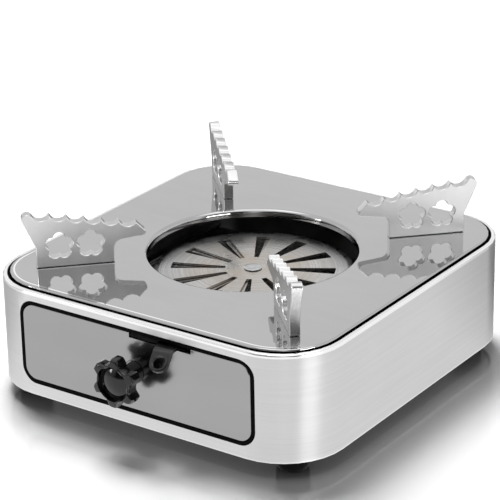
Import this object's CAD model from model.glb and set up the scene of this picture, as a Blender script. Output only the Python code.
import math

import bpy
from mathutils import Matrix, Vector

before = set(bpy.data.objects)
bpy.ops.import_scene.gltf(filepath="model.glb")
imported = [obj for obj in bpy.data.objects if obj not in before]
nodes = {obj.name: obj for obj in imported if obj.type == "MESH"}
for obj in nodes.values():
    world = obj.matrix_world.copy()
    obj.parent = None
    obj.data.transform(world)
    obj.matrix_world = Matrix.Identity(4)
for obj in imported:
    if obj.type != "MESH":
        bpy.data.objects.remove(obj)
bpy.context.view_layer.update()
print("stove frame loaded:", len(nodes), "nodes")

millimetre = 0.001
burnerCentre = (0.0, 0.00833, 0.0)  # a point on the burner's axis
usualEnds = (0.3, 0.7)  # most of a noise lies between these


# Small node helpers, shared by all finishes

def addNode(tree, kind, **settings):
    node = tree.nodes.new(kind)
    for key, value in settings.items():
        setattr(node, key, value)
    return node


def shadeOf(tone):
    # A number is a grey, a tuple is red, green and blue
    return (*tone, 1.0) if isinstance(tone, tuple) else (tone, tone, tone, 1.0)


def feed(tree, value, socket):
    # Another node's output is linked, a number or a tuple is set on the socket
    if isinstance(value, bpy.types.NodeSocket):
        tree.links.new(value, socket)
    else:
        socket.default_value = shadeOf(value) if socket.type == "RGBA" else value


def splitAxes(tree, vector):
    parts = addNode(tree, "ShaderNodeSeparateXYZ")
    feed(tree, vector, parts.inputs["Vector"])
    return parts.outputs["X"], parts.outputs["Y"], parts.outputs["Z"]


def joinAxes(tree, *values):
    made = addNode(tree, "ShaderNodeCombineXYZ")
    for value, socket in zip(values, made.inputs):
        feed(tree, value, socket)
    return made.outputs["Vector"]


def calculate(tree, operation, first, second=0.0):
    made = addNode(tree, "ShaderNodeMath", operation=operation)
    feed(tree, first, made.inputs[0])
    feed(tree, second, made.inputs[1])
    return made.outputs["Value"]


def product(tree, first, *others):
    for other in others:
        first = calculate(tree, "MULTIPLY", first, other)
    return first


def dot(tree, first, second):
    made = addNode(tree, "ShaderNodeVectorMath", operation="DOT_PRODUCT")
    feed(tree, first, made.inputs[0])
    feed(tree, second, made.inputs[1])
    return made.outputs["Value"]


def remap(tree, value, low, high, fromLow=0.0, fromHigh=1.0):
    # Values from fromLow to fromHigh become low to high, and are held beyond
    made = addNode(tree, "ShaderNodeMapRange")
    made.inputs["From Min"].default_value = fromLow
    made.inputs["From Max"].default_value = fromHigh
    made.inputs["To Min"].default_value = low
    made.inputs["To Max"].default_value = high
    feed(tree, value, made.inputs["Value"])
    return made.outputs["Result"]


def spread(tree, grain, pair, ends=usualEnds):
    return remap(tree, grain, *pair, *ends)


def ramp(tree, factor, stops):
    # Stops are (position, tone)
    made = addNode(tree, "ShaderNodeValToRGB")
    elements = made.color_ramp.elements
    while len(elements) < len(stops):
        elements.new(0.5)
    for element, (position, tone) in zip(elements, stops):
        element.position = position
        element.color = shadeOf(tone)
    feed(tree, factor, made.inputs["Fac"])
    return made.outputs["Color"]


def blend(tree, sort, factor, first, second, **settings):
    made = addNode(tree, "ShaderNodeMix", **settings)
    sockets = {item.identifier: item for item in made.inputs}
    feed(tree, factor, sockets["Factor_Float"])
    feed(tree, first, sockets["A_" + sort])
    feed(tree, second, sockets["B_" + sort])
    return next(item for item in made.outputs if item.identifier == "Result_" + sort)


def blendColours(tree, factor, first, second, kind="MIX"):
    return blend(tree, "Color", factor, first, second, data_type="RGBA", blend_type=kind)


def blendValues(tree, factor, first, second):
    return blend(tree, "Float", factor, first, second, data_type="FLOAT")


def placeOf(tree, stretch=(1, 1, 1), centre=(0, 0, 0), turn=0.0):
    # Object coordinates, seen from a centre, stretched and turned round Z
    coords = addNode(tree, "ShaderNodeTexCoord")
    centred = addNode(tree, "ShaderNodeVectorMath", operation="SUBTRACT")
    mapping = addNode(tree, "ShaderNodeMapping")
    mapping.inputs["Rotation"].default_value = (0, 0, turn)
    mapping.inputs["Scale"].default_value = stretch
    feed(tree, coords.outputs["Object"], centred.inputs[0])
    feed(tree, centre, centred.inputs[1])
    feed(tree, centred.outputs["Vector"], mapping.inputs["Vector"])
    return mapping.outputs["Vector"]


def noise(tree, vector, scale=1.0, detail=3.0, roughness=0.6, distortion=0.0):
    made = addNode(tree, "ShaderNodeTexNoise")
    made.inputs["Scale"].default_value = scale
    made.inputs["Detail"].default_value = detail
    made.inputs["Roughness"].default_value = roughness
    made.inputs["Distortion"].default_value = distortion
    feed(tree, vector, made.inputs["Vector"])
    return made.outputs["Fac"]


def pattern(tree, stretch=(1, 1, 1), turn=0.0, **settings):
    return noise(tree, placeOf(tree, stretch, turn=turn), **settings)


def normalOf(tree):
    return addNode(tree, "ShaderNodeNewGeometry").outputs["Normal"]


def relief(tree, height, strength, depth):
    made = addNode(tree, "ShaderNodeBump")
    made.inputs["Strength"].default_value = strength
    made.inputs["Distance"].default_value = depth
    feed(tree, height, made.inputs["Height"])
    return made.outputs["Normal"]


edgeWear = {
    "reach": 0.4 * millimetre,
    "samples": 6,
    "wornToWhole": (0.88, 0.995),
}


def edges(tree, reach=edgeWear["reach"]):
    # 1 beside the edges, 0 on open faces
    bevel = addNode(tree, "ShaderNodeBevel", samples=edgeWear["samples"])
    bevel.inputs["Radius"].default_value = reach
    agreement = dot(tree, bevel.outputs["Normal"], normalOf(tree))
    return remap(tree, agreement, 1.0, 0.0, *edgeWear["wornToWhole"])


def startMaterial(name, metallic=0.0, specular=0.5, tint=1.0):
    material = bpy.data.materials.new(name)
    material.use_nodes = True
    tree = material.node_tree
    shader = tree.nodes["Principled BSDF"]
    shader.inputs["Metallic"].default_value = metallic
    shader.inputs["Specular IOR Level"].default_value = specular
    feed(tree, tint, shader.inputs["Specular Tint"])
    return material, tree, shader


def coverWith(tree, shader, tone, roughness, surface):
    feed(tree, tone, shader.inputs["Base Color"])
    feed(tree, roughness, shader.inputs["Roughness"])
    feed(tree, surface, shader.inputs["Normal"])


# Lines that run round the body beside its rim

rimLines = {
    "halfSides": (95 * millimetre, 98.5 * millimetre),
    "cornerRadius": 32 * millimetre,
    "gapInward": (2.1 * millimetre, 2.3 * millimetre),
    "gapOutward": (3.6 * millimetre, 3.7 * millimetre),
    "gapTop": (62.65 * millimetre, 62.75 * millimetre),
    "gapTone": 0.004,
    "beadInward": (5.1 * millimetre, 5.35 * millimetre),
    "beadOutward": (5.95 * millimetre, 6.2 * millimetre),
    "beadFadeRight": (74 * millimetre, 86 * millimetre),
    "beadFadeBack": (-58 * millimetre, -40 * millimetre),
    "beadTone": 0.98,
}


def insetOf(tree):
    # How far a point lies inside the body's rounded outline, seen from above
    radius = rimLines["cornerRadius"]
    place = placeOf(tree, centre=burnerCentre)
    beyond = []
    for along, half in zip(splitAxes(tree, place), rimLines["halfSides"]):
        past = calculate(tree, "SUBTRACT", calculate(tree, "ABSOLUTE", along), half - radius)
        beyond.append(calculate(tree, "MAXIMUM", past, 0.0))
    length = addNode(tree, "ShaderNodeVectorMath", operation="LENGTH")
    feed(tree, joinAxes(tree, *beyond), length.inputs[0])
    return calculate(tree, "SUBTRACT", radius, length.outputs["Value"])


def gapShade(tree):
    # 1 in the narrow gap between the hem and the top plate, 0 elsewhere
    inset = insetOf(tree)
    _, _, height = splitAxes(tree, placeOf(tree))
    inward = remap(tree, inset, 0.0, 1.0, *rimLines["gapInward"])
    outward = remap(tree, inset, 1.0, 0.0, *rimLines["gapOutward"])
    below = remap(tree, height, 1.0, 0.0, *rimLines["gapTop"])
    return product(tree, inward, outward, below)


def beadShade(tree):
    # 1 on the fine pressed line inside the plate's front edge, fading to the right and back
    inset = insetOf(tree)
    across, along, _ = splitAxes(tree, placeOf(tree))
    inward = remap(tree, inset, 0.0, 1.0, *rimLines["beadInward"])
    outward = remap(tree, inset, 1.0, 0.0, *rimLines["beadOutward"])
    leftward = remap(tree, across, 1.0, 0.0, *rimLines["beadFadeRight"])
    forward = remap(tree, along, 1.0, 0.0, *rimLines["beadFadeBack"])
    return product(tree, inward, outward, leftward, forward)


# Finishes

brushedWall = {
    "tones": (0.62, 0.72),
    "toneEnds": (0.32, 0.68),
    "roughness": (0.28, 0.36),
    "grain": {"stretch": (26, 26, 2600), "detail": 4.0, "roughness": 0.62},
    "bands": {"stretch": (7, 7, 640)},
    "grainShare": 0.55,
    "grainStrength": 0.35,
    "grainDepth": 0.006 * millimetre,
    "clouds": {"scale": 22.0, "roughness": 0.5},
    "cloudTones": (0.63, 0.71),
    "cloudEnds": (0.35, 0.65),
    "cloudShare": 0.2,
    "hem": (60.2 * millimetre, 60.7 * millimetre),
    "hemTones": (0.94, 0.97),
    "hemRoughness": 0.24,
    "cutEdge": (8.1 * millimetre, 8.9 * millimetre),
    "cutEdgeFadeLeft": (60 * millimetre, 90 * millimetre),
    "cutEdgeAtLeft": 0.5,
    "anisotropy": 0.75,
    "anisotropyTurn": 0.25,
    "grazingTint": 0.88,
}


def makeBrushedWall():
    # Satin grain along the wall, a buffed hem at its top and a bright cut edge at its foot
    look = brushedWall
    material, tree, shader = startMaterial("brushedWall", metallic=1.0, tint=look["grazingTint"])
    clouds = pattern(tree, **look["clouds"])
    bands = pattern(tree, **look["bands"])
    streaks = blendValues(tree, look["grainShare"], bands, pattern(tree, **look["grain"]))
    tone = spread(tree, streaks, look["tones"], look["toneEnds"])
    cloudTone = spread(tree, clouds, look["cloudTones"], look["cloudEnds"])
    tone = blendColours(tree, look["cloudShare"], tone, cloudTone)
    across, _, height = splitAxes(tree, placeOf(tree))
    hem = remap(tree, height, 0.0, 1.0, *look["hem"])
    cutEdge = remap(tree, height, 1.0, 0.0, *look["cutEdge"])
    rightward = remap(tree, across, look["cutEdgeAtLeft"], 1.0, *look["cutEdgeFadeLeft"])
    buffed = calculate(tree, "MAXIMUM", hem, product(tree, cutEdge, rightward))
    tone = blendColours(tree, buffed, tone, spread(tree, clouds, look["hemTones"]))
    satin = spread(tree, streaks, look["roughness"])
    grooves = product(tree, streaks, remap(tree, hem, 1.0, 0.0))
    coverWith(
        tree, shader,
        blendColours(tree, gapShade(tree), tone, rimLines["gapTone"]),
        blendValues(tree, hem, satin, look["hemRoughness"]),
        relief(tree, grooves, look["grainStrength"], look["grainDepth"]),
    )
    around = addNode(tree, "ShaderNodeTangent", direction_type="RADIAL", axis="Z")
    feed(tree, around.outputs["Tangent"], shader.inputs["Tangent"])
    shader.inputs["Anisotropic"].default_value = look["anisotropy"]
    shader.inputs["Anisotropic Rotation"].default_value = look["anisotropyTurn"]
    return material


mirrorTop = {
    "tone": 0.50,
    "roughness": (0.025, 0.05),
    "swirlScale": 900.0,
    "rimLines": True,
}

mirrorPanel = {
    "tone": 0.355,
    "roughness": (0.16, 0.20),
    "swirlScale": 700.0,
    "rimLines": False,
}

mirrorWear = {
    "swirls": {"detail": 4.0, "roughness": 0.7, "distortion": 1.2},
    "swirlShare": 0.4,
    "swirlStrength": 0.05,
    "swirlDepth": 0.002 * millimetre,
    "markEnds": (0.35, 0.65),
    "wipes": {"stretch": (18, 60, 60), "turn": 0.5, "detail": 4.0, "distortion": 0.4},
    "wipeTones": (0.92, 1.08),
    "wipeEnds": (0.40, 0.60),
    "wipeShare": 0.15,
    "clouds": {"scale": 14.0, "detail": 2.0, "roughness": 0.5},
    "cloudTones": (0.97, 1.03),
    "grazingTint": 0.9,
}


def makeMirror(name, look):
    # Buffed sheet: hairline swirls, faint wipe marks and a slow change of tone
    wear = mirrorWear
    material, tree, shader = startMaterial(name, metallic=1.0, tint=wear["grazingTint"])
    swirls = pattern(tree, scale=look["swirlScale"], **wear["swirls"])
    wipes = pattern(tree, **wear["wipes"])
    clouded = [look["tone"] * share for share in wear["cloudTones"]]
    wiped = [look["tone"] * share for share in wear["wipeTones"]]
    tone = spread(tree, pattern(tree, **wear["clouds"]), clouded)
    wipeTone = spread(tree, wipes, wiped, wear["wipeEnds"])
    tone = blendColours(tree, wear["wipeShare"], tone, wipeTone)
    if look["rimLines"]:
        tone = blendColours(tree, beadShade(tree), tone, rimLines["beadTone"])
        tone = blendColours(tree, gapShade(tree), tone, rimLines["gapTone"])
    marks = blendValues(tree, wear["swirlShare"], wipes, swirls)
    coverWith(
        tree, shader, tone,
        spread(tree, marks, look["roughness"], wear["markEnds"]),
        relief(tree, swirls, wear["swirlStrength"], wear["swirlDepth"]),
    )
    return material


satinSupport = {
    "faceTones": (0.67, 0.76),
    "faceRoughness": (0.38, 0.48),
    "faceFrom": (0.75, 0.95),
    "cutTones": (0.86, 0.96),
    "cutRoughness": 0.24,
    "wornTone": 0.56,
    "wornFrom": (0.4, 0.8),
    "edgeTone": 0.90,
    "edgeReach": 0.25 * millimetre,
    "grain": {"stretch": (1500, 1500, 60)},
    "grainStrength": 0.06,
    "grainDepth": 0.004 * millimetre,
    "clouds": {"scale": 60.0, "roughness": 0.55},
    "grazingTint": 0.95,
}


def sidewaysShare(tree):
    # 1 where a surface faces round the burner's axis, 0 where it faces along a spoke or up
    across, along, _ = splitAxes(tree, placeOf(tree, centre=burnerCentre))
    unit = addNode(tree, "ShaderNodeVectorMath", operation="NORMALIZE")
    feed(tree, joinAxes(tree, product(tree, along, -1.0), across), unit.inputs[0])
    facing = calculate(tree, "ABSOLUTE", dot(tree, unit.outputs["Vector"], normalOf(tree)))
    return remap(tree, facing, 0.0, 1.0, *satinSupport["faceFrom"])


def makeSatinSupport():
    # Satin faces with a faint upright grain, bright cut flanks, dulled where pots rest
    look = satinSupport
    material, tree, shader = startMaterial("satinSupport", metallic=1.0, tint=look["grazingTint"])
    grain = pattern(tree, **look["grain"])
    face = spread(tree, pattern(tree, **look["clouds"]), look["faceTones"])
    upward = dot(tree, normalOf(tree), (0, 0, 1))
    worn = remap(tree, upward, 0.0, 1.0, *look["wornFrom"])
    cut = blendColours(tree, worn, spread(tree, grain, look["cutTones"]), look["wornTone"])
    sideways = sidewaysShare(tree)
    tone = blendColours(tree, sideways, cut, face)
    faceRoughness = spread(tree, grain, look["faceRoughness"])
    coverWith(
        tree, shader,
        blendColours(tree, edges(tree, look["edgeReach"]), tone, look["edgeTone"]),
        blendValues(tree, sideways, look["cutRoughness"], faceRoughness),
        relief(tree, grain, look["grainStrength"], look["grainDepth"]),
    )
    return material


millSheet = {
    "patches": {"scale": 45.0, "detail": 4.0},
    "patchTones": (0.38, 0.56),
    "rolled": {"stretch": (1400, 30, 1400)},
    "rolledTones": (0.36, 0.58),
    "rolledShare": 0.35,
    "rolledStrength": 0.2,
    "rolledDepth": 0.01 * millimetre,
    "roughness": (0.30, 0.46),
    "grazingTint": 0.8,
}


def makeMillSheet():
    # Plain sheet as rolled: long lines along Y and dull patches
    look = millSheet
    material, tree, shader = startMaterial("millSheet", metallic=1.0, tint=look["grazingTint"])
    rolled = pattern(tree, **look["rolled"])
    patches = pattern(tree, **look["patches"])
    patchTone = spread(tree, patches, look["patchTones"])
    rolledTone = spread(tree, rolled, look["rolledTones"])
    coverWith(
        tree, shader,
        blendColours(tree, look["rolledShare"], patchTone, rolledTone),
        spread(tree, patches, look["roughness"]),
        relief(tree, rolled, look["rolledStrength"], look["rolledDepth"]),
    )
    return material


spunSteel = {
    "tones": (0.42, 0.66),
    "roughness": (0.22, 0.36),
    "ringsPerMetre": 1800.0,
    "ringBreaks": 0.8,
    "ringStrength": 0.2,
    "ringDepth": 0.01 * millimetre,
    "patches": {"scale": 70.0},
    "heatTint": (0.62, 0.50, 0.36),
    "heatShare": 0.45,
    "heatRadii": (22 * millimetre, 44 * millimetre),
    "heatPatches": (0.2, 1.0),
    "heatEnds": (0.35, 0.65),
    "grazingTint": 0.85,
}


def makeSpunSteel():
    # Spun on a lathe: rings round the burner's axis, lightly tinted by heat in the middle
    look = spunSteel
    material, tree, shader = startMaterial("spunSteel", metallic=1.0, tint=look["grazingTint"])
    across, along, height = splitAxes(tree, placeOf(tree, centre=burnerCentre))
    squares = calculate(tree, "ADD", product(tree, across, across), product(tree, along, along))
    radius = calculate(tree, "SQRT", squares)
    bearing = calculate(tree, "ARCTAN2", along, across)
    rings = noise(tree, joinAxes(
        tree,
        product(tree, radius, look["ringsPerMetre"]),
        product(tree, bearing, look["ringBreaks"]),
        product(tree, height, look["ringsPerMetre"]),
    ))
    patches = pattern(tree, **look["patches"])
    heated = remap(tree, radius, look["heatShare"], 0.0, *look["heatRadii"])
    heat = product(tree, heated, spread(tree, patches, look["heatPatches"], look["heatEnds"]))
    coverWith(
        tree, shader,
        blendColours(tree, heat, spread(tree, rings, look["tones"]), look["heatTint"]),
        spread(tree, patches, look["roughness"]),
        relief(tree, rings, look["ringStrength"], look["ringDepth"]),
    )
    return material


zincPlating = {
    "clouds": {"scale": 320.0},
    "tones": [(0.32, (0.46, 0.47, 0.50)), (0.68, (0.66, 0.66, 0.64))],
    "edgeTone": (0.74, 0.74, 0.73),
    "specks": {"scale": 2400.0, "detail": 2.0, "roughness": 0.5},
    "speckStrength": 0.15,
    "speckDepth": 0.01 * millimetre,
    "roughness": (0.24, 0.40),
}


def makeZincPlating():
    # Passivated zinc: cloudy, with a trace of blue and straw
    look = zincPlating
    material, tree, shader = startMaterial("zincPlating", metallic=1.0)
    specks = pattern(tree, **look["specks"])
    tone = ramp(tree, pattern(tree, **look["clouds"]), look["tones"])
    coverWith(
        tree, shader,
        blendColours(tree, edges(tree), tone, look["edgeTone"]),
        spread(tree, specks, look["roughness"]),
        relief(tree, specks, look["speckStrength"], look["speckDepth"]),
    )
    return material


blackKnob = {
    "tones": (0.003, 0.008),
    "roughness": (0.06, 0.11),
    "edgeTone": 0.035,
    "skin": {"scale": 1500.0},
    "skinDepth": 0.006 * millimetre,
    "specular": 0.5,
}

blackEnamel = {
    "tones": (0.006, 0.014),
    "roughness": (0.12, 0.24),
    "edgeTone": 0.05,
    "skin": {"scale": 500.0},
    "skinDepth": 0.02 * millimetre,
    "specular": 0.4,
}

siliconeSeal = {
    "tones": (0.002, 0.006),
    "roughness": (0.45, 0.62),
    "edgeTone": 0.008,
    "skin": {"scale": 2600.0},
    "skinDepth": 0.02 * millimetre,
    "specular": 0.03,
}

footRubber = {
    "tones": (0.003, 0.009),
    "roughness": (0.50, 0.70),
    "edgeTone": 0.014,
    "skin": {"scale": 1900.0},
    "skinDepth": 0.03 * millimetre,
    "specular": 0.06,
}

blackWear = {
    "clouds": {"scale": 110.0},
    "skinStrength": 0.12,
}


def makeBlack(name, look):
    # Moulded or coated black: cloudy tone, fine skin, paler where edges have rubbed
    material, tree, shader = startMaterial(name, specular=look["specular"])
    clouds = pattern(tree, **blackWear["clouds"])
    skin = pattern(tree, **look["skin"])
    tone = spread(tree, clouds, look["tones"])
    coverWith(
        tree, shader,
        blendColours(tree, edges(tree), tone, look["edgeTone"]),
        spread(tree, clouds, look["roughness"]),
        relief(tree, skin, blackWear["skinStrength"], look["skinDepth"]),
    )
    return material


finishes = {
    "brushedWall": makeBrushedWall(),
    "mirrorTop": makeMirror("mirrorTop", mirrorTop),
    "mirrorPanel": makeMirror("mirrorPanel", mirrorPanel),
    "satinSupport": makeSatinSupport(),
    "millSheet": makeMillSheet(),
    "spunSteel": makeSpunSteel(),
    "zincPlating": makeZincPlating(),
    "blackKnob": makeBlack("blackKnob", blackKnob),
    "blackEnamel": makeBlack("blackEnamel", blackEnamel),
    "siliconeSeal": makeBlack("siliconeSeal", siliconeSeal),
    "footRubber": makeBlack("footRubber", footRubber),
}
print("finishes made:", ", ".join(finishes))

finishOfNode = {
    "body_shell": "brushedWall",
    "top_plate": "mirrorTop",
    "drawer_front": "mirrorPanel",
    "base_pan": "millSheet",
    "drawer_runner": "millSheet",
    "drawer_tray": "millSheet",
    "pot_support": "satinSupport",
    "support_screw": "zincPlating",
    "fuel_cup": "spunSteel",
    "cup_lid": "spunSteel",
    "damper_plate": "spunSteel",
    "damper_pivot": "zincPlating",
    "damper_lever": "blackEnamel",
    "lever_rivet": "zincPlating",
    "star_knob": "blackKnob",
    "knob_bolt": "zincPlating",
    "knob_washer": "zincPlating",
    "foot_screw": "zincPlating",
    "foot_nut": "zincPlating",
    "foot": "footRubber",
    "top_seal": "siliconeSeal",
    "drawer_seal": "siliconeSeal",
}


def finishFor(name):
    # The longest listed start of the node's name decides
    matches = [start for start in finishOfNode if name.startswith(start)]
    return finishes[finishOfNode[max(matches, key=len)]]


# Smooth shading for the loose triangles of the CAD nodes

shading = {
    "sharpAngle": math.radians(32),
    "mergeDistance": 0.001 * millimetre,
}


def makeShadingGroup():
    group = bpy.data.node_groups.new("softShading", "GeometryNodeTree")
    for side in ("INPUT", "OUTPUT"):
        group.interface.new_socket("Geometry", in_out=side, socket_type="NodeSocketGeometry")
    start = addNode(group, "NodeGroupInput")
    bare = addNode(group, "GeometryNodeRemoveAttribute")
    bare.inputs["Name"].default_value = "custom_normal"
    merge = addNode(group, "GeometryNodeMergeByDistance")
    merge.inputs["Distance"].default_value = shading["mergeDistance"]
    soft = addNode(group, "GeometryNodeSetShadeSmooth", domain="FACE")
    angle = addNode(group, "GeometryNodeInputMeshEdgeAngle")
    sharp = addNode(group, "FunctionNodeCompare", data_type="FLOAT", operation="GREATER_THAN")
    sharp.inputs[1].default_value = shading["sharpAngle"]
    creased = addNode(group, "GeometryNodeSetShadeSmooth", domain="EDGE")
    creased.inputs["Shade Smooth"].default_value = False
    end = addNode(group, "NodeGroupOutput")
    steps = (start, bare, merge, soft, creased, end)
    for earlier, later in zip(steps, steps[1:]):
        feed(group, earlier.outputs[0], later.inputs[0])
    feed(group, angle.outputs["Unsigned Angle"], sharp.inputs[0])
    feed(group, sharp.outputs["Result"], creased.inputs["Selection"])
    return group


shadingGroup = makeShadingGroup()
for name, node in nodes.items():
    node.data.materials.clear()
    node.data.materials.append(finishFor(name))
    node.modifiers.new("softShading", "NODES").node_group = shadingGroup
    weighted = node.modifiers.new("flatFaces", "WEIGHTED_NORMAL")
    weighted.keep_sharp = True
print("finishes set on", len(nodes), "nodes")


# Floor, backdrop, lamps and camera

def whatMetalSees(tree):
    # 1 for a ray that comes off metal or through glass
    path = addNode(tree, "ShaderNodeLightPath").outputs
    return calculate(tree, "MAXIMUM", path["Is Glossy Ray"], path["Is Transmission Ray"])


floorLook = {
    "size": 8.0,
    "tones": (0.924, 0.93),
    "speckle": {"scale": 90.0, "roughness": 0.5},
    "creviceReach": 0.036,
    "creviceSamples": 16,
    "crevices": [(0.10, 0.12), (0.45, 0.30), (0.70, 0.82), (0.86, 1.0)],
    "mirrorShare": 0.10,
    "specular": 0.2,
    "roughness": 0.10,
    "evenShare": 0.97,
    "seenInMetal": (0.95, 1.05),
    "brighterTowards": (-0.57, -0.82, 0),
    "brighterOver": (-0.10, 0.10),
    "darkSides": [
        {"outward": (-0.766, 0.643, 0), "start": -0.038, "axis": (0, 1, 0), "tone": 0.26},
        {"outward": (-0.766, 0.643, 0), "start": 0.021, "axis": (-1, 0, 0), "tone": 0.62},
    ],
    "axisStart": 0.085,
    "fallOff": 0.08,
}


def floorInMetal(tree):
    # Pale all over, a little brighter to the front left, darker behind and at the left
    look = floorLook
    place = placeOf(tree)
    towards = dot(tree, place, look["brighterTowards"])
    tone = remap(tree, towards, *look["seenInMetal"], *look["brighterOver"])
    for side in look["darkSides"]:
        outward = calculate(tree, "SUBTRACT", dot(tree, place, side["outward"]), side["start"])
        axial = calculate(tree, "SUBTRACT", dot(tree, place, side["axis"]), look["axisStart"])
        beyond = calculate(tree, "MINIMUM", outward, axial)
        tone = product(tree, tone, remap(tree, beyond, 1.0, side["tone"], 0.0, look["fallOff"]))
    return tone


def makeFloor():
    look = floorLook
    bpy.ops.mesh.primitive_plane_add(size=look["size"], location=(0, 0, 0))
    floor = bpy.context.object
    floor.name = "studioFloor"
    material, tree, shader = startMaterial(
        "paleFloor", metallic=look["mirrorShare"], specular=look["specular"]
    )
    pale = spread(tree, pattern(tree, **look["speckle"]), look["tones"])
    # The floor darkens where the stove closes over it
    openness = addNode(tree, "ShaderNodeAmbientOcclusion", samples=look["creviceSamples"])
    openness.inputs["Distance"].default_value = look["creviceReach"]
    shade = ramp(tree, openness.outputs["AO"], look["crevices"])
    feed(tree, blendColours(tree, 1.0, pale, shade, "MULTIPLY"), shader.inputs["Base Color"])
    shader.inputs["Roughness"].default_value = look["roughness"]
    # Metal sees a nearly even pale floor
    even = addNode(tree, "ShaderNodeEmission")
    feed(tree, floorInMetal(tree), even.inputs["Strength"])
    mix = addNode(tree, "ShaderNodeMixShader")
    feed(tree, product(tree, whatMetalSees(tree), look["evenShare"]), mix.inputs["Fac"])
    feed(tree, shader.outputs["BSDF"], mix.inputs[1])
    feed(tree, even.outputs["Emission"], mix.inputs[2])
    output = next(node for node in tree.nodes if node.type == "OUTPUT_MATERIAL")
    feed(tree, mix.outputs["Shader"], output.inputs["Surface"])
    floor.data.materials.append(material)


# Bearings are counted from +X towards +Y, climbs from the horizon, both in degrees
# Stops around are (height of the direction, tone), from 0 at the horizon to 1 overhead

worldLook = {
    "fill": 0.11,
    "seen": 1.0,
    "around": [
        (0.0, 0.96), (0.40, 0.96), (0.62, 0.80), (0.86, 0.90),
        (0.92, 1.9), (0.974, 1.9), (0.9945, 1.1),
    ],
    "flags": [
        {"bearing": -138, "climb": -5, "reach": (0.86, 0.95), "tone": 0.48},
        {"bearing": -88, "climb": 8, "reach": (0.82, 0.93), "tone": 0.03},
        {"bearing": -26, "climb": 17, "reach": (0.85, 0.93), "tone": 0.04},
    ],
}


def awayFrom(look):
    bearing, climb = math.radians(look["bearing"]), math.radians(look["climb"])
    level = math.cos(climb)
    return Vector((math.cos(bearing) * level, math.sin(bearing) * level, math.sin(climb)))


def makeWorld():
    # White where it is seen, a soft gradient with dark flags in metal, a modest fill as light
    world = bpy.data.worlds.new("studioWorld")
    bpy.context.scene.world = world
    world.use_nodes = True
    tree = world.node_tree
    background = tree.nodes["Background"]
    direction = addNode(tree, "ShaderNodeTexCoord").outputs["Generated"]
    _, _, height = splitAxes(tree, direction)
    inMetal = ramp(tree, height, worldLook["around"])
    for flag in worldLook["flags"]:
        towards = dot(tree, direction, tuple(awayFrom(flag)))
        share = remap(tree, towards, 0.0, 1.0, *flag["reach"])
        inMetal = blendColours(tree, share, inMetal, flag["tone"])
    camera = addNode(tree, "ShaderNodeLightPath").outputs["Is Camera Ray"]
    shown = blendColours(tree, camera, worldLook["fill"], worldLook["seen"])
    feed(tree, blendColours(tree, whatMetalSees(tree), shown, inMetal), background.inputs["Color"])
    background.inputs["Strength"].default_value = 1.0


lamps = {
    "topSoftbox": {
        "bearing": 147,
        "climb": 63,
        "distance": 1.5,
        "size": (0.68, 0.68),
        "power": 35,
        "onFloor": True,
        "inMetal": False,
        "aim": (0, 0, 0.05),
    },
    "cornerStrip": {
        "bearing": -15,
        "climb": 7,
        "distance": 1.5,
        "size": (0.75, 0.3),
        "power": 7.6,
        "onFloor": False,
        "inMetal": True,
        "aim": (0.08, -0.07, 0.05),
    },
    "knobGlint": {
        "bearing": -136,
        "climb": 12,
        "distance": 1.2,
        "size": (0.16, 0.16),
        "power": 1.0,
        "onFloor": False,
        "inMetal": True,
        "aim": (0, -0.12, 0.04),
    },
}


def placeLamp(name, look):
    # Set back from a point on the stove and turned to it
    away = awayFrom(look)
    data = bpy.data.lights.new(name, "AREA")
    data.shape = "RECTANGLE"
    data.size, data.size_y = look["size"]
    data.energy = look["power"]
    lamp = bpy.data.objects.new(name, data)
    lamp.location = Vector(look["aim"]) + away * look["distance"]
    lamp.rotation_euler = away.to_track_quat("Z", "Y").to_euler()
    lamp.visible_diffuse = look["onFloor"]
    lamp.visible_glossy = look["inMetal"]
    bpy.context.scene.collection.objects.link(lamp)


cameraLook = {
    "place": (0.6088, -0.85974, 0.50261),
    "turn": 35.116,
    "climb": 22.535,
    "tilt": -1.103,
    "lens": 167.4,
    "sensor": 36.0,
    "clip": (0.05, 30.0),
}


def makeCamera():
    look = cameraLook
    data = bpy.data.cameras.new("photoCamera")
    data.lens = look["lens"]
    data.sensor_width = look["sensor"]
    data.clip_start, data.clip_end = look["clip"]
    camera = bpy.data.objects.new("photoCamera", data)
    turn, climb, tilt = (math.radians(look[key]) for key in ("turn", "climb", "tilt"))
    aim = Matrix.Rotation(turn, 4, "Z") @ Matrix.Rotation(math.pi / 2 - climb, 4, "X")
    aim = aim @ Matrix.Rotation(tilt, 4, "Z")
    camera.matrix_world = Matrix.Translation(look["place"]) @ aim
    bpy.context.scene.collection.objects.link(camera)
    bpy.context.scene.camera = camera


makeFloor()
makeWorld()
for name, look in lamps.items():
    placeLamp(name, look)
makeCamera()
bpy.context.scene.view_settings.view_transform = "Standard"
print("floor, lamps and camera ready")
